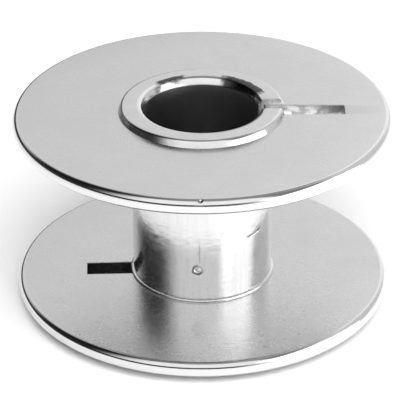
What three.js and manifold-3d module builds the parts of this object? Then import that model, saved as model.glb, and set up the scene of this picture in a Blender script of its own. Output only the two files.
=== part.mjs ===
// Slotted metal bobbin: two flanges and a barrel, clamped together by a thin sleeve whose ends are
// rolled outwards into the raised rings round the bore.
// Millimetres, +Z up along the bore. The origin is on the bore's axis, at the underside of the lower
// ring, so the bobbin stands on z = 0. The upper flange's slot points along +X.
import * as THREE from 'three';
import { mergeVertices } from 'three/addons/utils/BufferGeometryUtils.js';
import Module from 'manifold-3d';

// Flanges: thin discs with a crowned rim.
const FLANGE_RADIUS = 10.2;
const FLANGE_THICKNESS = 0.88;
const FLANGE_SPAN = 10.6; // from the lower flange's underside to the upper flange's top
const RIM_DEPTH = 0.34; // how far the rim's crown stands out from the flat faces

// Sleeve: a tube through the stack, with a rolled ring over each flange.
const BORE_RADIUS = 3.085;
const SLEEVE_WALL = 0.34;
const RING_RADIUS = 4.5; // at its foot
const RING_HEIGHT = 0.38;
const RING_LEAN = 25; // degrees from upright, the inward lean of the ring's outer wall
const RING_CORNER = 0.2;

// Mouths: from the ring's flat face into the bore by a gentle shoulder, a tighter bend and a cone.
const MOUTH_RADIUS = 3.55; // where the flat face ends and the shoulder begins
const SHOULDER_RADIUS = 0.52;
const SHOULDER_SLOPE = 29; // degrees, where the shoulder ends and the bend begins
const BEND_RADIUS = 0.08;
const CONE_SLOPE = 60; // degrees

// Barrel: the outer tube that holds the flanges apart, with a small rounded collar at each end.
const BARREL_RADIUS = 3.82;
const BARREL_COLLAR = 0.15;
const MARK_RADIUS = 0.26;
const MARK_DEPTH = 0.12;
const MARK_HEIGHT_BELOW_MIDDLE = 2.41;
const MARK_TURN = -3; // degrees round the barrel from its front, towards -X

// Slots: straight cuts from the bore outwards, one in each flange, turned so many degrees from +X.
const UPPER_SLOT = { turn: 0, width: 1.08, end: 7.68 };
const LOWER_SLOT = { turn: 182, width: 1.24, end: 6.4 };

const CLEARANCE = 0.02; // left between pieces that touch
const TURN_STEPS = 72; // facets round a full turn
const RIM_STEPS = 8; // facets over a rim
const CORNER_STEPS = 3; // facets round a quarter of a small corner

// Levels along the bore, from the bottom up.
const LOWER_FLANGE_BOTTOM = RING_HEIGHT;
const LOWER_FLANGE_TOP = LOWER_FLANGE_BOTTOM + FLANGE_THICKNESS;
const UPPER_FLANGE_TOP = LOWER_FLANGE_BOTTOM + FLANGE_SPAN;
const UPPER_FLANGE_BOTTOM = UPPER_FLANGE_TOP - FLANGE_THICKNESS;
const TOTAL_HEIGHT = FLANGE_SPAN + 2 * RING_HEIGHT;
const MIDDLE = TOTAL_HEIGHT / 2;
const SLEEVE_RADIUS = BORE_RADIUS + SLEEVE_WALL;

const wasm = await Module();
wasm.setup();

const satinSteel = () => new THREE.MeshStandardMaterial({ color: 0xc4c4c4, roughness: 0.38, metalness: 1 });
const turnedSteel = () => new THREE.MeshStandardMaterial({ color: 0xbcbcbc, roughness: 0.3, metalness: 1 });
const rolledSteel = () => new THREE.MeshStandardMaterial({ color: 0xc8c8c8, roughness: 0.25, metalness: 1 });

// Points on an elliptical arc from one angle to another, in degrees, both ends included.
function arc(centreRadius, centreHeight, across, along, fromDegrees, toDegrees, steps) {
  const points = [];
  for (let i = 0; i <= steps; i += 1) {
    const angle = THREE.MathUtils.degToRad(fromDegrees + ((toDegrees - fromDegrees) * i) / steps);
    points.push([centreRadius + across * Math.cos(angle), centreHeight + along * Math.sin(angle)]);
  }
  return points;
}

// A solid of revolution about +Z from a closed outline of [radius, height] points, anticlockwise.
function turned(outline) {
  const points = [...outline, outline[0]].map(([radius, height]) => new THREE.Vector2(radius, height));
  return new THREE.LatheGeometry(points, TURN_STEPS).rotateX(Math.PI / 2);
}

// The manifold-3d solid of a closed geometry, with its shared vertices merged.
function solidOf(geometry) {
  const bare = geometry.clone();
  bare.deleteAttribute('normal');
  bare.deleteAttribute('uv');
  const merged = mergeVertices(bare);
  return new wasm.Manifold(new wasm.Mesh({
    numProp: 3,
    vertProperties: new Float32Array(merged.attributes.position.array),
    triVerts: new Uint32Array(merged.index.array),
  }));
}

// The BufferGeometry of a manifold-3d solid.
function geometryOf(solid) {
  const mesh = solid.getMesh();
  const geometry = new THREE.BufferGeometry();
  geometry.setAttribute('position', new THREE.BufferAttribute(mesh.vertProperties, 3));
  geometry.setIndex(new THREE.BufferAttribute(mesh.triVerts, 1));
  geometry.computeVertexNormals();
  return geometry;
}

// The geometry left when every cutter is taken away from a piece.
function cut(geometry, cutters) {
  let solid = solidOf(geometry);
  for (const cutter of cutters) {
    solid = solid.subtract(solidOf(cutter));
  }
  return geometryOf(solid);
}

// The straight block that cuts a slot from the bore's axis outwards, between two heights.
function slotCutter(slot, bottom, top) {
  const block = new THREE.BoxGeometry(slot.end, slot.width, top - bottom);
  block.translate(slot.end / 2, 0, (top + bottom) / 2);
  return block.rotateZ(THREE.MathUtils.degToRad(slot.turn));
}

// A flange disc with its underside at the given height.
function flangeDisc(bottom) {
  const half = FLANGE_THICKNESS / 2;
  const hole = SLEEVE_RADIUS + CLEARANCE;
  return turned([
    [hole, bottom],
    ...arc(FLANGE_RADIUS - RIM_DEPTH, bottom + half, RIM_DEPTH, half, -90, 90, RIM_STEPS),
    [hole, bottom + FLANGE_THICKNESS],
  ]);
}

function upperFlange() {
  const slot = slotCutter(UPPER_SLOT, UPPER_FLANGE_BOTTOM - 1, TOTAL_HEIGHT + 1);
  return cut(flangeDisc(UPPER_FLANGE_BOTTOM), [slot]);
}

function lowerFlange() {
  const slot = slotCutter(LOWER_SLOT, -1, LOWER_FLANGE_TOP + 1);
  return cut(flangeDisc(LOWER_FLANGE_BOTTOM), [slot]);
}

// The barrel, with a rounded collar where it meets each flange and a punched mark on its front.
function coreBarrel() {
  const bottom = LOWER_FLANGE_TOP + CLEARANCE;
  const top = UPPER_FLANGE_BOTTOM - CLEARANCE;
  const inside = SLEEVE_RADIUS + CLEARANCE;
  const tube = turned([
    [inside, bottom],
    ...arc(BARREL_RADIUS, bottom, BARREL_COLLAR, BARREL_COLLAR, 0, 90, CORNER_STEPS),
    ...arc(BARREL_RADIUS, top, BARREL_COLLAR, BARREL_COLLAR, 270, 360, CORNER_STEPS),
    [inside, top],
  ]);
  const punch = new THREE.SphereGeometry(MARK_RADIUS, 12, 8);
  const turn = THREE.MathUtils.degToRad(MARK_TURN);
  const reach = BARREL_RADIUS + MARK_RADIUS - MARK_DEPTH;
  punch.translate(reach * Math.sin(turn), -reach * Math.cos(turn), MIDDLE - MARK_HEIGHT_BELOW_MIDDLE);
  return cut(tube, [punch]);
}

// The upper mouth's outline, from the ring's flat face down to the straight bore.
function upperMouth() {
  const slope = THREE.MathUtils.degToRad(SHOULDER_SLOPE);
  const tighter = SHOULDER_RADIUS - BEND_RADIUS;
  const level = TOTAL_HEIGHT - SHOULDER_RADIUS;
  const bendLevel = level + tighter * Math.cos(slope);
  const bendCentre = MOUTH_RADIUS - tighter * Math.sin(slope);
  const change = 90 + SHOULDER_SLOPE; // where the shoulder's arc hands over to the bend's
  const shoulder = arc(MOUTH_RADIUS, level, SHOULDER_RADIUS, SHOULDER_RADIUS, 90, change, CORNER_STEPS);
  const bend = arc(bendCentre, bendLevel, BEND_RADIUS, BEND_RADIUS, change, 90 + CONE_SLOPE, 2);
  const points = [...shoulder, ...bend.slice(1)];
  const [radius, height] = points[points.length - 1];
  const drop = (radius - BORE_RADIUS) * Math.tan(THREE.MathUtils.degToRad(CONE_SLOPE));
  return [...points, [BORE_RADIUS, height - drop]];
}

// The upper ring's outer edge, from its foot up to its flat face: a leaning wall and a round corner.
function upperRingEdge(foot) {
  const lean = THREE.MathUtils.degToRad(RING_LEAN);
  const level = TOTAL_HEIGHT - RING_CORNER;
  const rise = level + RING_CORNER * Math.sin(lean) - foot;
  const centre = RING_RADIUS - rise * Math.tan(lean) - RING_CORNER * Math.cos(lean);
  return [
    [RING_RADIUS, foot],
    ...arc(centre, level, RING_CORNER, RING_CORNER, RING_LEAN, 90, CORNER_STEPS),
  ];
}

// The sleeve: the bore, a mouth at each end, and the rings rolled over the flanges.
function boreSleeve() {
  const underLowerRing = LOWER_FLANGE_BOTTOM - CLEARANCE;
  const underUpperRing = UPPER_FLANGE_TOP + CLEARANCE;
  const upperEnd = [...upperRingEdge(underUpperRing), ...upperMouth()];
  const tube = turned([
    ...upperEnd.map(([radius, height]) => [radius, TOTAL_HEIGHT - height]).reverse(),
    [SLEEVE_RADIUS, underLowerRing],
    [SLEEVE_RADIUS, underUpperRing],
    ...upperEnd,
  ]);
  return cut(tube, [
    slotCutter(LOWER_SLOT, -1, LOWER_FLANGE_TOP),
    slotCutter(UPPER_SLOT, UPPER_FLANGE_BOTTOM, TOTAL_HEIGHT + 1),
  ]);
}

function piece(name, geometry, material) {
  const mesh = new THREE.Mesh(geometry, material);
  mesh.name = name;
  return mesh;
}

const bobbin = new THREE.Group();
bobbin.add(
  piece('upper_flange', upperFlange(), satinSteel()),
  piece('lower_flange', lowerFlange(), satinSteel()),
  piece('core_barrel', coreBarrel(), turnedSteel()),
  piece('bore_sleeve', boreSleeve(), rolledSteel()),
);

export default bobbin;
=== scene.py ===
import math

import bmesh
import bpy
from mathutils import Matrix, Quaternion, Vector


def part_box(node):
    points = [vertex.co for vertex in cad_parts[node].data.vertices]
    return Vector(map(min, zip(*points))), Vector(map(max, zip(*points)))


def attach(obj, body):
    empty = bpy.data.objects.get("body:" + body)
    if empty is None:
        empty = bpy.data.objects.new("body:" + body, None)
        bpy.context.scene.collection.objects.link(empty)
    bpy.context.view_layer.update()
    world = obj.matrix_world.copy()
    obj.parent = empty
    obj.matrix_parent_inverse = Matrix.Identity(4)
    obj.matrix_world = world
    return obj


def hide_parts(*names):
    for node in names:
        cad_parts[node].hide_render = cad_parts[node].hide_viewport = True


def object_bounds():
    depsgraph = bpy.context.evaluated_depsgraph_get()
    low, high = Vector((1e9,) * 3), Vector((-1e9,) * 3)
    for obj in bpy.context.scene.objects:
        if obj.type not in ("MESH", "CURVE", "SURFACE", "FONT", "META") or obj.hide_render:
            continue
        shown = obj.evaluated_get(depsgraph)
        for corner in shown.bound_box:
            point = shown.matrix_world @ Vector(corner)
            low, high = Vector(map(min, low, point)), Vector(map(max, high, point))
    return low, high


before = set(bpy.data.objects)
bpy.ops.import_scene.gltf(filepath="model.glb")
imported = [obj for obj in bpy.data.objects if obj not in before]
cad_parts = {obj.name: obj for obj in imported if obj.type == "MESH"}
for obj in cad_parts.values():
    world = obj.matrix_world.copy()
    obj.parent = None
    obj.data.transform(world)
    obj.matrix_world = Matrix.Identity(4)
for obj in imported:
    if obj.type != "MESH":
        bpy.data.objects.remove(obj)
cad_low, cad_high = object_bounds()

MM = 0.001
BODY = "root"

# Sizes that the CAD boxes don't give, as in the CAD source.
RIM_DEPTH = 0.34
BORE_RADIUS = 3.085
SLEEVE_WALL = 0.34
MOUTH_RADIUS = 3.55
SHOULDER_RADIUS = 0.52
SHOULDER_SLOPE = 29
BEND_RADIUS = 0.08
CONE_SLOPE = 60
RING_CORNER = 0.2
RING_LEAN = 25  # degrees from upright, the inward lean of the ring's outer wall
BARREL_RADIUS = 3.82
BARREL_COLLAR = 0.15
CLEARANCE = 0.02
SLEEVE_RADIUS = BORE_RADIUS + SLEEVE_WALL
UPPER_SLOT = {"side": 1, "half_width": 0.54, "end": 7.68, "turn": 0.0}
LOWER_SLOT = {"side": -1, "half_width": 0.62, "end": 6.4, "turn": 2.0}

# Finer than in the CAD: the gap where the rings and the barrel sit on the flanges, the rounding of
# the slots' edges, and the broken edge between the mouth's cone and the bore.
SEAT = 0.004
SLOT_EDGE = 0.04
THROAT_EDGE = 0.02

# Small marks of making and wear: a punched mark and a scratch on the barrel, a nick on the upper rim.
# Turns are in degrees round the bore from the front, towards +X.
PUNCH = {"turn": -3.6, "below_middle": 2.44, "radius": 0.26, "depth": 0.045}
SCRATCH = {"turn": 46.5, "above_middle": -0.88, "width": 0.06, "length": 0.38, "depth": 0.02}
NICK = {"turn": -0.5, "size": 0.09}
MARK_REACH = 0.55  # how far round the punched mark the mesh is finer
SCRATCH_REACH = 0.6

# Painted shade in the upper mouth, dark patches where the mouth lies in shade: degrees round the bore
# from the back, towards +X, and radii.
MOUTH_SHADE_PATCHES = [((20, 68), (3.0, 3.66)), ((-45, -17), (3.33, 3.62))]

# Brightness of the upper flange's inner face, against the rest of the flange: painted shade, darkening
# the face that lies between the flanges.
UNDERSIDE_SHADE = 0.74

# Radii between which a slot's walls go from their inner to their outer brightness: painted light and
# shade, bright near the bore and dark further out.
SLOT_FADE = (5.7, 6.6)

# Fineness of the meshes.
ARC_COLUMNS = 180  # columns round each half turn, between the two slots' directions
SLOT_COLUMNS = 6  # columns across a slot
RIM_STEPS = 28  # rows over a rim
CORNER_STEPS = 8  # rows over a small corner
BARREL_ROWS = 100  # rows up the barrel
EDGE_STEPS = 3  # rows over a slot's edge
MARK_CUTS = 4  # how often the mesh is divided again round the barrel's marks
NICK_CUTS = 3  # and round the nick
WALL = 1  # material index of the slots' walls

# View: along +Y and down, with a long lens. The shifts and the roll frame the picture.
VIEW_ELEVATION = 28.83
VIEW_DISTANCE = 136.2
VIEW_ROLL = -0.23
VIEW_SHIFT = (-0.0052, -0.0094)
LENS = 223.7
SENSOR = 36.0


def box_mm(node):
    """The low and high corners of a CAD node's box, in millimetres."""
    low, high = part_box(node)
    return low / MM, high / MM


def arc(centre, across, along, start, stop, steps):
    """Points [radius, height] on an elliptical arc, angles in degrees, both ends included."""
    points = []
    for i in range(steps + 1):
        angle = math.radians(start + (stop - start) * i / steps)
        points.append((centre[0] + across * math.cos(angle), centre[1] + along * math.sin(angle)))
    return points


# ---------------------------------------------------------------- meshes

def stations(plus, minus):
    """The columns round a turn, anticlockwise from the near side of the +X slot. Each is a function
    from a radius to a point [x, y]; the columns in a slot's width run straight along X."""
    def across(side, half, t):
        y = side * t * half
        return lambda r: (side * math.sqrt(r * r - y * y), y)

    def between(first, second, turn, u):
        def place(r):
            low = math.asin(first / r)
            high = math.pi - math.asin(second / r)
            angle = turn + low + (high - low) * u
            return r * math.cos(angle), r * math.sin(angle)
        return place

    columns = [across(1, plus, -1 + 2 * i / SLOT_COLUMNS) for i in range(SLOT_COLUMNS + 1)]
    columns += [between(plus, minus, 0.0, i / ARC_COLUMNS) for i in range(1, ARC_COLUMNS)]
    columns += [across(-1, minus, -1 + 2 * i / SLOT_COLUMNS) for i in range(SLOT_COLUMNS + 1)]
    columns += [between(minus, plus, math.pi, i / ARC_COLUMNS) for i in range(1, ARC_COLUMNS)]
    return columns


def inset(path, depth):
    """The path of [radius, height] points moved to its left by depth. Its two ends slide along the
    line that joins them."""
    points = [Vector(point) for point in path]
    normals = []
    for a, b in zip(points, points[1:]):
        step = (b - a).normalized()
        normals.append(Vector((-step.y, step.x)))
    chord = (points[-1] - points[0]).normalized()
    moved = [points[0] + chord * (depth / normals[0].dot(chord))]
    for point, before, after in zip(points[1:-1], normals, normals[1:]):
        moved.append(point + (before + after) * (depth / (1 + before.dot(after))))
    moved.append(points[-1] - chord * (depth / normals[-1].dot(-chord)))
    return moved


def edge_levels():
    """How far a rounded edge stands out sideways and lies below the surface, level by level."""
    levels = []
    for i in range(EDGE_STEPS + 1):
        angle = math.radians(90) * i / EDGE_STEPS
        levels.append((SLOT_EDGE * (1 - math.sin(angle)), SLOT_EDGE * (1 - math.cos(angle))))
    return levels


def strip(bm, first, second, material_index=0):
    """Joins two rows of vertices by a strip of faces."""
    for a, b, c, d in zip(first, first[1:], second[1:], second):
        bm.faces.new((a, b, c, d)).material_index = material_index


def open_slot(bm, grid, zone, outline, rows, side, half, end):
    """Closes the gap that a slot leaves in the grid: two rounded edges and flat side walls along X,
    and a flat end wall at x = end, or a flat floor where end is None."""
    path = [outline[k] for k in rows]
    columns = [zone[0], zone[-1]]
    levels = edge_levels()
    walls = []
    for j in columns:
        sign = math.copysign(1, grid[rows[0]][j].co.y)
        wall = [[grid[k][j] for k in rows]]
        for out, depth in levels[1:]:
            y = sign * (half + out)
            ring = []
            for r, z in inset(path, depth):
                ring.append(bm.verts.new((side * math.sqrt(r * r - y * y), y, z)))
            wall.append(ring)
        for outer, inner in zip(wall, wall[1:]):
            strip(bm, outer, inner)
        bm.faces.new(wall[-1]).material_index = WALL
        walls.append(wall)
    near, far = walls
    if end is None:
        floor = [grid[rows[0]][j] for j in zone]
        floor += [ring[0] for ring in far[1:]]
        floor += [ring[-1] for ring in reversed(far[1:])]
        floor += [grid[rows[-1]][j] for j in reversed(zone)]
        floor += [ring[-1] for ring in near[1:]]
        floor += [ring[0] for ring in reversed(near[1:])]
        bm.faces.new(floor).material_index = WALL
        return
    lips = []
    for k, index in ((rows[0], 0), (rows[-1], -1)):
        lip = [[grid[k][j] for j in zone]]
        for (out, _), near_ring, far_ring in zip(levels[1:], near[1:], far[1:]):
            middle = []
            for j in zone[1:-1]:
                y = grid[k][j].co.y * (half + out) / (half + SLOT_EDGE)
                middle.append(bm.verts.new((0, y, near_ring[index].co.z)))
            lip.append([near_ring[index], *middle, far_ring[index]])
        for (out, _), row in zip(levels, lip):
            for vertex in row:
                vertex.co.x = side * (end + out)
        for outer, inner in zip(lip, lip[1:]):
            strip(bm, outer, inner)
        lips.append(lip[-1])
    strip(bm, *lips, WALL)


def slotted_turn(outline, cuts):
    """A closed turned body from an anticlockwise outline of [radius, height] points, with slots.
    Each cut is (slot, first, last, end): the outline from index first to index last is cut away in
    the slot's width, and end is the x of a flat end wall, or None for a floor."""
    columns = stations(UPPER_SLOT["half_width"] + SLOT_EDGE, LOWER_SLOT["half_width"] + SLOT_EDGE)
    count, turn = len(outline), len(columns)
    zones = {
        1: list(range(SLOT_COLUMNS + 1)),
        -1: list(range(SLOT_COLUMNS + ARC_COLUMNS, 2 * SLOT_COLUMNS + ARC_COLUMNS + 1)),
    }
    bm = bmesh.new()
    grid = []
    for radius, height in outline:
        grid.append([bm.verts.new((*place(radius), height)) for place in columns])
    gone = set()
    for slot, first, last, end in cuts:
        zone = zones[slot["side"]]
        rows = [(first + k) % count for k in range((last - first) % count + 1)]
        gone.update((k, j) for k in rows[:-1] for j in zone[:-1])
        open_slot(bm, grid, zone, outline, rows, slot["side"], slot["half_width"], end)
    for k in range(count):
        for j in range(turn):
            if (k, j) not in gone:
                after, right = (k + 1) % count, (j + 1) % turn
                bm.faces.new((grid[k][j], grid[k][right], grid[after][right], grid[after][j]))
    bmesh.ops.delete(bm, geom=[v for v in bm.verts if not v.link_faces], context="VERTS")
    bmesh.ops.recalc_face_normals(bm, faces=bm.faces)
    return bm


def turn_about_bore(bm, degrees, below=math.inf):
    """Turns the vertices below a height about the bore's axis."""
    picked = [vertex for vertex in bm.verts if vertex.co.z < below]
    bmesh.ops.rotate(bm, verts=picked, cent=(0, 0, 0),
                     matrix=Matrix.Rotation(math.radians(degrees), 3, "Z"))


def finish_mesh(name, bm, smooth_angle=32):
    """Turns a bmesh in millimetres into a smooth-shaded object in metres."""
    bmesh.ops.scale(bm, vec=(MM, MM, MM), verts=bm.verts)
    mesh = bpy.data.meshes.new(name)
    bm.to_mesh(mesh)
    bm.free()
    mesh.shade_smooth()
    mesh.set_sharp_from_angle(angle=math.radians(smooth_angle))
    piece = bpy.data.objects.new(name, mesh)
    bpy.context.scene.collection.objects.link(piece)
    weighted = piece.modifiers.new("flat_faces_stay_flat", "WEIGHTED_NORMAL")
    weighted.keep_sharp = True
    return piece


def flange(name, node, slot, nick=None):
    """A flange disc with a crowned rim and its slot, and a nick in the rim where one is given."""
    low, high = box_mm(node)
    radius, bottom, top = high.x, low.z, high.z
    half = (top - bottom) / 2
    hole = SLEEVE_RADIUS + CLEARANCE
    corner = math.hypot(slot["end"] + SLOT_EDGE, slot["half_width"] + SLOT_EDGE)
    crown = arc((radius - RIM_DEPTH, bottom + half), RIM_DEPTH, half, -90, 90, RIM_STEPS)
    outline = [(hole, bottom), (corner, bottom), *crown, (corner, top), (hole, top)]
    bm = slotted_turn(outline, [(slot, len(outline) - 2, 1, slot["end"])])
    turn_about_bore(bm, slot["turn"])
    if nick:
        angle = math.radians(nick["turn"])
        outward = Vector((math.sin(angle), -math.cos(angle), 0))
        up = Vector((0, 0, 1))
        # Half-way out over the crown and close under its top.
        place = outward * (radius - RIM_DEPTH * 0.5) + up * (bottom + half * 1.85)
        refine(bm, lambda point: (point - place).length < 4 * nick["size"], NICK_CUTS)
        for vertex in bm.verts:
            gap = (vertex.co - place).length / nick["size"]
            vertex.co -= (outward + up) * 0.5 * nick["size"] * math.exp(-gap * gap)
    return finish_mesh(name, bm)


def mouth(face):
    """The upper mouth's outline, from the ring's flat face at a height down to the bore."""
    slope = math.radians(SHOULDER_SLOPE)
    tighter = SHOULDER_RADIUS - BEND_RADIUS
    shoulder = (MOUTH_RADIUS, face - SHOULDER_RADIUS)
    bend = (shoulder[0] - tighter * math.sin(slope), shoulder[1] + tighter * math.cos(slope))
    change = 90 + SHOULDER_SLOPE
    points = arc(shoulder, SHOULDER_RADIUS, SHOULDER_RADIUS, 90, change, CORNER_STEPS)
    points += arc(bend, BEND_RADIUS, BEND_RADIUS, change, 90 + CONE_SLOPE, CORNER_STEPS)[1:]
    radius, height = points[-1]
    run, drop = math.cos(math.radians(CONE_SLOPE)), math.sin(math.radians(CONE_SLOPE))
    throat = height - (radius - BORE_RADIUS) * drop / run
    points.append((BORE_RADIUS + THROAT_EDGE * run, throat + THROAT_EDGE * drop))
    points.append((BORE_RADIUS, throat - THROAT_EDGE))
    return points


def ring_edge(face, foot, radius):
    """The upper ring's outer edge, from its foot at a radius and a height up to its flat face: a
    leaning wall and a round corner."""
    lean = math.radians(RING_LEAN)
    level = face - RING_CORNER
    rise = level + RING_CORNER * math.sin(lean) - foot
    centre = (radius - rise * math.tan(lean) - RING_CORNER * math.cos(lean), level)
    return [(radius, foot),
            *arc(centre, RING_CORNER, RING_CORNER, RING_LEAN, 90, 2 * CORNER_STEPS)]


def sleeve(name):
    """The sleeve: bore, rounded mouths and rolled rings, slotted at both ends."""
    low, high = box_mm("bore_sleeve")
    lower_bottom, lower_top = (corner.z for corner in box_mm("lower_flange"))
    upper_bottom, upper_top = (corner.z for corner in box_mm("upper_flange"))
    upper_end = ring_edge(high.z, upper_top + SEAT, high.x) + mouth(high.z)
    lower_end = [(radius, low.z + high.z - height) for radius, height in reversed(upper_end)]
    lower = [
        (BORE_RADIUS, lower_top),
        *lower_end,
        (SLEEVE_RADIUS, lower_bottom - SEAT),
        (SLEEVE_RADIUS, lower_top),
    ]
    upper = [
        (SLEEVE_RADIUS, upper_bottom),
        (SLEEVE_RADIUS, upper_top + SEAT),
        *upper_end,
        (BORE_RADIUS, upper_bottom),
    ]
    turn = len(lower)
    bm = slotted_turn(lower + upper, [
        (LOWER_SLOT, 0, turn - 1, None),
        (UPPER_SLOT, turn, turn + len(upper) - 1, None),
    ])
    turn_about_bore(bm, LOWER_SLOT["turn"], below=(low.z + high.z) / 2)
    return finish_mesh(name, bm)


def refine(bm, near, cuts):
    """Divides the faces whose middle satisfies near into cuts + 1 rows and columns."""
    faces = [face for face in bm.faces if near(face.calc_center_median())]
    picked = dict.fromkeys(edge for face in faces for edge in face.edges)
    bmesh.ops.subdivide_edges(bm, edges=list(picked), cuts=cuts, use_grid_fill=True)


def on_barrel(turn, height):
    """A point on the barrel, with its outward normal, at a turn in degrees from the front."""
    angle = math.radians(turn)
    normal = Vector((math.sin(angle), -math.cos(angle), 0))
    return normal * BARREL_RADIUS + Vector((0, 0, height)), normal


def barrel(name):
    """The barrel between the flanges, with a collar at each end, a punched mark and a scratch."""
    low, high = box_mm("core_barrel")
    # The ends reach closer to the flanges than the CAD's clearance.
    low.z -= CLEARANCE - SEAT
    high.z += CLEARANCE - SEAT
    inside = SLEEVE_RADIUS + CLEARANCE
    rows = [low.z + BARREL_COLLAR + (high.z - low.z - 2 * BARREL_COLLAR) * i / BARREL_ROWS
            for i in range(1, BARREL_ROWS)]
    outline = [
        (inside, low.z),
        *arc((BARREL_RADIUS, low.z), BARREL_COLLAR, BARREL_COLLAR, 0, 90, CORNER_STEPS),
        *((BARREL_RADIUS, z) for z in rows),
        *arc((BARREL_RADIUS, high.z), BARREL_COLLAR, BARREL_COLLAR, 270, 360, CORNER_STEPS),
        (inside, high.z),
    ]
    bm = slotted_turn(outline, [])
    middle = (low.z + high.z) / 2
    mark, mark_normal = on_barrel(PUNCH["turn"], middle - PUNCH["below_middle"])
    scratch, scratch_normal = on_barrel(SCRATCH["turn"], middle + SCRATCH["above_middle"])
    up = Vector((0, 0, 1))
    along = (scratch_normal.cross(up) * -0.98 + up * 0.2).normalized()
    across = scratch_normal.cross(along)

    def close(point):
        return (point - mark).length < MARK_REACH or (point - scratch).length < SCRATCH_REACH

    refine(bm, close, MARK_CUTS)
    for vertex in bm.verts:
        # Only the outside is marked, and its new vertices are put back on the round.
        outwards = math.hypot(vertex.co.x, vertex.co.y)
        if not close(vertex.co) or outwards < BARREL_RADIUS * 0.95:
            continue
        vertex.co.x *= BARREL_RADIUS / outwards
        vertex.co.y *= BARREL_RADIUS / outwards
        # The mark is a round groove, deeper at its lower left, with its middle left standing.
        away = vertex.co - mark
        side = away.dot(mark_normal.cross(up))
        reach = away.length / PUNCH["radius"]
        lean = 1 + 0.35 * (side - away.z) / PUNCH["radius"]
        groove = PUNCH["depth"] * lean * math.exp(-((reach - 0.62) / 0.24) ** 2)
        # The scratch is a short bent furrow.
        away = vertex.co - scratch
        run, off = away.dot(along), away.dot(across)
        off += 0.25 * run * run
        fade = math.exp(-(off / SCRATCH["width"]) ** 2) * math.exp(-(run / SCRATCH["length"]) ** 4)
        furrow = SCRATCH["depth"] * fade
        vertex.co -= mark_normal * groove + scratch_normal * furrow
    return finish_mesh(name, bm)


# ---------------------------------------------------------------- materials

class Nodes:
    """A few short-hands for building a material's node tree."""

    def __init__(self, name):
        self.material = bpy.data.materials.new(name)
        self.material.use_nodes = True
        self.tree = self.material.node_tree
        self.shader = self.tree.nodes["Principled BSDF"]
        self.place = self.tree.nodes.new("ShaderNodeTexCoord").outputs["Object"]

    def link(self, source, socket):
        self.tree.links.new(source, socket)

    def noise(self, scale, stretch=(1, 1, 1), detail=3.0, roughness=0.5):
        """Noise with so many grains to the millimetre, stretched along an axis where stretch < 1."""
        mapping = self.tree.nodes.new("ShaderNodeMapping")
        mapping.inputs["Scale"].default_value = [scale * k / MM for k in stretch]
        self.link(self.place, mapping.inputs["Vector"])
        texture = self.tree.nodes.new("ShaderNodeTexNoise")
        texture.inputs["Scale"].default_value = 1.0
        texture.inputs["Detail"].default_value = detail
        texture.inputs["Roughness"].default_value = roughness
        self.link(mapping.outputs["Vector"], texture.inputs["Vector"])
        return texture.outputs["Fac"]

    def spread(self, value, low, high, source=(0.3, 0.7)):
        """Maps the source range, by default the middle of a noise, to low..high, and no further."""
        ramp = self.tree.nodes.new("ShaderNodeMapRange")
        ramp.inputs["From Min"].default_value, ramp.inputs["From Max"].default_value = source
        ramp.inputs["To Min"].default_value = low
        ramp.inputs["To Max"].default_value = high
        self.link(value, ramp.inputs["Value"])
        return ramp.outputs["Result"]

    def maths(self, operation, first, second):
        """One sum of two sockets or numbers."""
        node = self.tree.nodes.new("ShaderNodeMath")
        node.operation = operation
        for socket, value in zip(node.inputs, (first, second)):
            if isinstance(value, (int, float)):
                socket.default_value = value
            else:
                self.link(value, socket)
        return node.outputs[0]

    def outwards(self):
        """The distance from the bore's axis, in millimetres."""
        x, y, _ = self.axes()
        square = self.maths("ADD", self.maths("MULTIPLY", x, x), self.maths("MULTIPLY", y, y))
        return self.maths("SQRT", square, 0.0)

    def window(self, value, low, high, soft):
        """1 where the value is between low and high, 0 outside, with soft edges."""
        rise = self.spread(value, 0.0, 1.0, (low - soft, low + soft))
        fall = self.spread(value, 1.0, 0.0, (high - soft, high + soft))
        return self.maths("MULTIPLY", rise, fall)

    def axes(self):
        """The place's x, y and z in millimetres."""
        split = self.tree.nodes.new("ShaderNodeSeparateXYZ")
        self.link(self.place, split.inputs[0])
        return [self.maths("MULTIPLY", socket, 1 / MM) for socket in split.outputs]

    def grey(self, value):
        """A grey colour of the given brightness."""
        node = self.tree.nodes.new("ShaderNodeCombineColor")
        for socket in node.inputs[:3]:
            self.link(value, socket)
        return node.outputs["Color"]

    def bump(self, height, depth, before=None):
        """A bump whose height of 1 stands for so many millimetres."""
        node = self.tree.nodes.new("ShaderNodeBump")
        node.inputs["Strength"].default_value = 1.0
        node.inputs["Distance"].default_value = depth * MM
        self.link(height, node.inputs["Height"])
        if before:
            self.link(before, node.inputs["Normal"])
        return node.outputs["Normal"]


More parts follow.
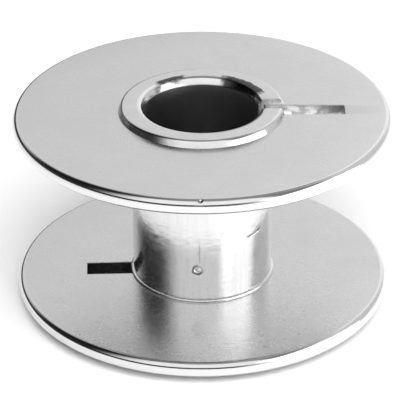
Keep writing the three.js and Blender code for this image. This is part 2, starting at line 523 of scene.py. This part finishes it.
def satin_plate(name, brightness, roughness, edge, shade_below=0.0, rim_roughness=0.1):
    """Nickel-plated sheet: a faint mottle in tone and gloss, a very fine pebbled skin and a few
    long hairline scratches. Beyond the radius edge it is polished; below a height its colour is
    painted darker, as shade."""
    made = Nodes(name)
    mottle = made.maths("ADD", made.noise(0.5), made.maths("MULTIPLY", made.noise(3.0), 0.6))
    hair = made.noise(6.0, stretch=(0.04, 1, 1), detail=2.0)
    tone = made.spread(mottle, brightness * 0.965, brightness * 1.03, (0.55, 1.05))
    height = made.axes()[2]
    # Painted shade: below the given height, on the inner face between the flanges, the colour is
    # darkened.
    dull = made.spread(height, UNDERSIDE_SHADE, 1.0, (shade_below + 0.01, shade_below + 0.1))
    made.link(made.grey(made.maths("MULTIPLY", tone, dull)), made.shader.inputs["Base Color"])
    gloss = made.maths("ADD", made.spread(mottle, -0.02, 0.02, (0.55, 1.05)),
                       made.spread(hair, roughness - 0.008, roughness + 0.008))
    polish = made.spread(made.outwards(), 1.0, rim_roughness / roughness, (edge - 0.05, edge + 0.1))
    made.link(made.maths("MULTIPLY", gloss, polish), made.shader.inputs["Roughness"])
    skin = made.bump(made.noise(9.0), 0.0003)
    wavy = made.bump(made.noise(1.4), 0.002, skin)
    made.link(wavy, made.shader.inputs["Normal"])
    made.shader.inputs["Metallic"].default_value = 1
    return made.material


def marks(made):
    """How bright the dark lines leave the barrel's front: round the punched mark, up the seam and
    along the scratch. 1 away from the lines."""
    middle = sum(corner.z for corner in box_mm("core_barrel")) / 2
    x, y, z = made.axes()
    front = made.spread(y, 1.0, 0.0, (-1.0, -0.5))
    ragged = made.spread(made.noise(4.0), -0.05, 0.05)

    def line(distance, half):
        """1 on a line of the given half width, fading to 0 beside it."""
        return made.spread(made.maths("ABSOLUTE", distance, 0.0), 1.0, 0.0, (half * 0.4, half * 1.5))

    def offset(axis, start):
        """The way from start along an axis, made ragged."""
        return made.maths("ADD", made.maths("ADD", axis, -start), ragged)

    mark, _ = on_barrel(PUNCH["turn"], middle - PUNCH["below_middle"])
    side, rise = offset(x, mark.x), offset(z, mark.z)
    away = made.maths("SQRT", made.maths("ADD", made.maths("MULTIPLY", side, side),
                                         made.maths("MULTIPLY", rise, rise)), 0.0)
    lean = made.spread(made.maths("ADD", side, rise), 1.0, 0.1, (-0.1, 0.35))
    ring = made.maths("MULTIPLY", line(made.maths("ADD", away, -PUNCH["radius"]), 0.06), lean)
    # The seam rises from the mark, and is fainter.
    seam = made.maths("MULTIPLY", line(offset(x, mark.x + 0.1), 0.045),
                      made.window(z, mark.z + 0.5, mark.z + 1.7, 0.3))
    seam = made.maths("MULTIPLY", seam, 0.4)
    scratch, _ = on_barrel(SCRATCH["turn"], middle + SCRATCH["above_middle"])
    along = made.maths("ADD", x, -scratch.x)
    bend = made.maths("ADD", made.maths("MULTIPLY", along, 0.3),
                      made.maths("MULTIPLY", made.maths("MULTIPLY", along, along), 0.8))
    gash = line(made.maths("SUBTRACT", offset(z, scratch.z), bend), 0.05)
    gash = made.maths("MULTIPLY", gash, made.window(along, -0.35, 0.35, 0.08))
    gash = made.maths("MULTIPLY", gash, 0.85)
    dark = made.maths("MAXIMUM", made.maths("MAXIMUM", ring, seam), gash)
    return made.spread(made.maths("MULTIPLY", dark, front), 1.0, 0.15, (0.0, 1.0))


def drawn_tube(name, brightness, roughness):
    """Bright drawn tube: fine lines along the tube, faint turning rings and slight hollows."""
    made = Nodes(name)
    lines = made.noise(7.0, stretch=(1, 1, 0.06))
    rings = made.noise(9.0, stretch=(0.05, 0.05, 1))
    blotch = made.noise(1.1, detail=4.0, roughness=0.6)
    tone = made.maths("MULTIPLY", made.spread(lines, 0.95, 1.04),
                      made.spread(blotch, 0.97 * brightness, 1.02 * brightness))
    tone = made.maths("MULTIPLY", tone, marks(made))
    made.link(made.grey(tone), made.shader.inputs["Base Color"])
    gloss = made.maths("ADD", made.spread(rings, roughness - 0.03, roughness + 0.04),
                       made.spread(blotch, -0.03, 0.04))
    made.link(gloss, made.shader.inputs["Roughness"])
    fine = made.bump(lines, 0.0012)
    turned = made.bump(rings, 0.0008, fine)
    hollows = made.bump(made.noise(1.6, stretch=(1, 1, 1.5), detail=2.0), 0.012, turned)
    made.link(hollows, made.shader.inputs["Normal"])
    made.shader.inputs["Metallic"].default_value = 1
    return made.material


def rolled_tube(name, brightness, roughness):
    """The sleeve: a rougher bore painted darker as shade, polished rolled ends with ripples left by
    the rolling, fine rings and painted dark shade patches in the upper mouth."""
    made = Nodes(name)
    blotch = made.noise(1.3, detail=4.0)
    rings = made.noise(10.0, stretch=(0.1, 0.1, 1))
    edge = (BORE_RADIUS + 0.005, BORE_RADIUS + 0.03)
    # Painted shade: the bore itself is darkened to half the sleeve's brightness.
    tone = made.maths("MULTIPLY", made.spread(made.outwards(), 0.5, 1.0, edge),
                      made.spread(blotch, brightness * 0.96, brightness * 1.02))
    # The painted shade patches have ragged edges and stop above the bore.
    throat = mouth(box_mm("bore_sleeve")[1].z)[-1][1]
    x, y, z = made.axes()
    ragged = made.spread(made.noise(3.0), -0.05, 0.05)
    radius = made.maths("ADD", made.outwards(), ragged)
    round_back = made.maths("MULTIPLY", made.maths("ARCTAN2", x, y), 180 / math.pi)
    round_back = made.maths("ADD", round_back, made.maths("MULTIPLY", ragged, 50.0))
    above = made.spread(z, 0.0, 1.0, (throat - 0.01, throat + 0.01))
    # Painted shade: each patch darkens the mouth's colour.
    for (left, right), (inner, outer) in MOUTH_SHADE_PATCHES:
        mouth_shade = made.maths("MULTIPLY", made.window(round_back, left, right, 3.0),
                           made.window(radius, inner, outer, 0.04))
        mouth_shade = made.maths("MULTIPLY", mouth_shade, above)
        tone = made.maths("MULTIPLY", tone, made.spread(mouth_shade, 1.0, 0.12, (0.0, 1.0)))
    made.link(made.grey(tone), made.shader.inputs["Base Color"])
    gloss = made.maths("ADD", made.spread(made.outwards(), 0.2, 0.0, edge),
                       made.spread(rings, roughness - 0.03, roughness + 0.04))
    made.link(gloss, made.shader.inputs["Roughness"])
    skin = made.bump(rings, 0.0008)
    ripples = made.bump(made.noise(1.2, detail=2.0), 0.012, skin)
    made.link(ripples, made.shader.inputs["Normal"])
    made.shader.inputs["Metallic"].default_value = 1
    return made.material


def sheared_wall(name, inner, outer):
    """A punched slot's wall: dull torn metal with patches burnished by the punch. Its brightness
    goes from inner to outer away from the bore, painted light and shade for the slot's reflections and
    shadow."""
    made = Nodes(name)
    patches = made.noise(1.6, stretch=(1, 1, 2.0), detail=3.0)
    tears = made.noise(9.0, stretch=(2.5, 2.5, 0.3))
    # Painted light and shade: the walls' colour fades from the inner to the outer brightness away from
    # the bore.
    painted_wall_light = made.spread(made.outwards(), inner, outer, SLOT_FADE)
    tone = made.maths("MULTIPLY", painted_wall_light, made.spread(patches, 0.75, 1.35, (0.4, 0.62)))
    tone = made.maths("MULTIPLY", tone, made.spread(tears, 0.8, 1.15))
    made.link(made.grey(tone), made.shader.inputs["Base Color"])
    made.link(made.spread(patches, 0.6, 0.32, (0.4, 0.62)), made.shader.inputs["Roughness"])
    made.link(made.bump(tears, 0.02), made.shader.inputs["Normal"])
    made.shader.inputs["Metallic"].default_value = 1
    return made.material


def white_floor():
    """Plain pale, soft floor."""
    material = bpy.data.materials.new("floor_white")
    material.use_nodes = True
    shader = material.node_tree.nodes["Principled BSDF"]
    shader.inputs["Base Color"].default_value = (0.9, 0.9, 0.9, 1)
    shader.inputs["Roughness"].default_value = 0.6
    return material


# ---------------------------------------------------------------- the bobbin

def dress(piece, slot, materials, *nodes):
    """Gives a piece its materials and tells the frame which body and CAD nodes it stands for. The slot
    is not used.
    """
    for material in materials:
        piece.data.materials.append(material)
    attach(piece, BODY)
    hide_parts(*nodes)


rim_start = box_mm("upper_flange")[1].x - RIM_DEPTH
inner_face = box_mm("upper_flange")[0].z
# Painted light and shade on the slots' walls: the upper walls bright near the bore and darker further
# out, the lower walls painted near black as the shade inside their slot.
upper_wall = sheared_wall("upper_slot_wall", inner=0.85, outer=0.4)
lower_wall_painted_dark = sheared_wall("lower_slot_wall_painted_shade", inner=0.12, outer=0.12)
# The upper plate is painted darker on its inner face, as shade between the flanges.
upper_plate = satin_plate("upper_flange_plate", 0.76, 0.27, rim_start, shade_below=inner_face)
lower_plate = satin_plate("lower_flange_plate", 0.74, 0.27, rim_start)
sleeve_steel = rolled_tube("sleeve_tube", 0.77, 0.16)
barrel_steel = drawn_tube("barrel_tube", 0.75, 0.18)
dress(flange("upper_flange_disc", "upper_flange", UPPER_SLOT, NICK), "flange_steel",
      [upper_plate, upper_wall], "upper_flange")
dress(flange("lower_flange_disc", "lower_flange", LOWER_SLOT), "flange_steel",
      [lower_plate, lower_wall_painted_dark], "lower_flange")
dress(sleeve("bore_sleeve_tube"), "sleeve_steel", [sleeve_steel, upper_wall], "bore_sleeve")
dress(barrel("core_barrel_tube"), "barrel_steel", [barrel_steel], "core_barrel")

# ---------------------------------------------------------------- stage

FLOOR_SIZE = 2.0  # metres

scene = bpy.context.scene
scene.view_settings.view_transform = "Standard"

mesh = bpy.data.meshes.new("floor")
bm = bmesh.new()
bmesh.ops.create_grid(bm, x_segments=1, y_segments=1, size=FLOOR_SIZE)
bm.to_mesh(mesh)
bm.free()
floor = bpy.data.objects.new("floor", mesh)
floor.location.z = cad_low.z
floor.data.materials.append(white_floor())
scene.collection.objects.link(floor)

# The studio round the bobbin, as a sky: azimuths in degrees from the camera's side, positive
# towards +X, and elevations above the floor. Each patch is (azimuths, elevations, softness of the
# azimuths, softness of the elevations, strength).
SKY_STRENGTH = 0.78
PATCHES = [
    ((-180, 180), (66, 140), 8, 8, 0.34),  # dim overhead
    ((110, 250), (54, 140), 10, 8, 0.3),  # a little darker high behind
    ((-60, 46), (-20, 66), 6, 6, 1.1),  # soft light in front
    ((46, 98), (-20, 70), 5, 5, 0.24),  # dim on the front right, behind the softbox
    ((98, 176), (-20, 50), 5, 5, 0.72),  # grey on the right
    ((142, 172), (-20, 50), 12, 5, 1.1),  # lighter towards the back
    ((-130, -54), (-20, 78), 20, 14, 0.015),  # dark wall on the left
    ((-180, 30), (-20, 16.5), 13, 3, 0.04),  # dark strip along the horizon
]


def studio():
    """Builds the sky from its patches, each laid over the ones before it."""
    world = bpy.data.worlds.new("studio")
    scene.world = world
    world.use_nodes = True
    tree = world.node_tree
    background = tree.nodes["Background"]

    def node(kind, **settings):
        made = tree.nodes.new(kind)
        for key, value in settings.items():
            setattr(made, key, value)
        return made

    def maths(operation, *values):
        made = node("ShaderNodeMath", operation=operation)
        for socket, value in zip(made.inputs, values):
            if isinstance(value, (int, float)):
                socket.default_value = value
            else:
                tree.links.new(value, socket)
        return made.outputs[0]

    def ramp(value, low, high):
        made = node("ShaderNodeMapRange", interpolation_type="SMOOTHSTEP")
        tree.links.new(value, made.inputs["Value"])
        made.inputs["From Min"].default_value = low
        made.inputs["From Max"].default_value = high
        return made.outputs["Result"]

    direction = node("ShaderNodeTexCoord").outputs["Generated"]
    split = node("ShaderNodeSeparateXYZ")
    tree.links.new(direction, split.inputs[0])
    x, y, z = split.outputs
    front = maths("MULTIPLY", maths("ARCTAN2", x, maths("MULTIPLY", y, -1.0)), 180 / math.pi)
    behind = maths("MODULO", maths("ADD", front, 360.0), 360.0)
    elevation = maths("MULTIPLY", maths("ARCSINE", z), 180 / math.pi)
    level = SKY_STRENGTH
    for (left, right), (low, high), soft, soft_level, strength in PATCHES:
        mask = maths("MULTIPLY", ramp(elevation, low - soft_level, low + soft_level),
                     maths("SUBTRACT", 1.0, ramp(elevation, high - soft_level, high + soft_level)))
        if right - left < 360:
            azimuth = behind if right > 180 else front
            past = ramp(azimuth, right - soft, right + soft)
            mask = maths("MULTIPLY", mask, ramp(azimuth, left - soft, left + soft))
            mask = maths("MULTIPLY", mask, maths("SUBTRACT", 1.0, past))
        mix = node("ShaderNodeMix", data_type="FLOAT")
        tree.links.new(mask, mix.inputs["Factor"])
        if isinstance(level, float):
            mix.inputs["A"].default_value = level
        else:
            tree.links.new(level, mix.inputs["A"])
        mix.inputs["B"].default_value = strength
        level = mix.outputs["Result"]
    tree.links.new(level, background.inputs["Strength"])
    background.inputs["Color"].default_value = (1, 1, 1, 1)


studio()


def overhead(power, size, place):
    """A wide soft light that lights the floor but isn't mirrored in the metal."""
    data = bpy.data.lights.new("overhead", "AREA")
    data.shape = "DISK"
    data.size = size * MM
    data.energy = power
    light = bpy.data.objects.new("overhead", data)
    light.location = Vector(place) * MM
    light.rotation_mode = "QUATERNION"
    light.rotation_quaternion = (-light.location).to_track_quat("-Z", "Y")
    light.visible_glossy = False
    scene.collection.objects.link(light)


overhead(power=0.8, size=300, place=(16, -110, 230))


def softbox(strength, azimuth, distance, width, height, lean):
    """A light at an azimuth, facing the bobbin and turned in its own plane by a lean in degrees."""
    data = bpy.data.lights.new("softbox", "AREA")
    data.shape = "RECTANGLE"
    data.size, data.size_y = width * MM, height * MM
    data.energy = strength * math.pi * width * height * MM * MM
    light = bpy.data.objects.new("softbox", data)
    turn = math.radians(azimuth)
    toward = Vector((-math.sin(turn), math.cos(turn), 0))
    rise = Vector((0, 0, 0.4 * height))
    light.location = (-toward * distance + rise) * MM
    light.rotation_mode = "QUATERNION"
    upright = toward.to_track_quat("-Z", "Y")
    light.rotation_quaternion = Quaternion(toward, math.radians(lean)) @ upright
    scene.collection.objects.link(light)


softbox(strength=1.75, azimuth=62, distance=36, width=38, height=32, lean=-20)

centre = (cad_low + cad_high) / 2
tilt = math.radians(VIEW_ELEVATION)
data = bpy.data.cameras.new("camera")
data.sensor_width = SENSOR
data.lens = LENS
data.shift_x, data.shift_y = VIEW_SHIFT
data.clip_start = 0.001
camera = bpy.data.objects.new("camera", data)
camera.location = centre + Vector((0, -math.cos(tilt), math.sin(tilt))) * VIEW_DISTANCE * MM
camera.rotation_euler = (math.radians(90) - tilt, 0, 0)
camera.rotation_euler.rotate_axis("Z", math.radians(VIEW_ROLL))
scene.collection.objects.link(camera)
scene.camera = camera
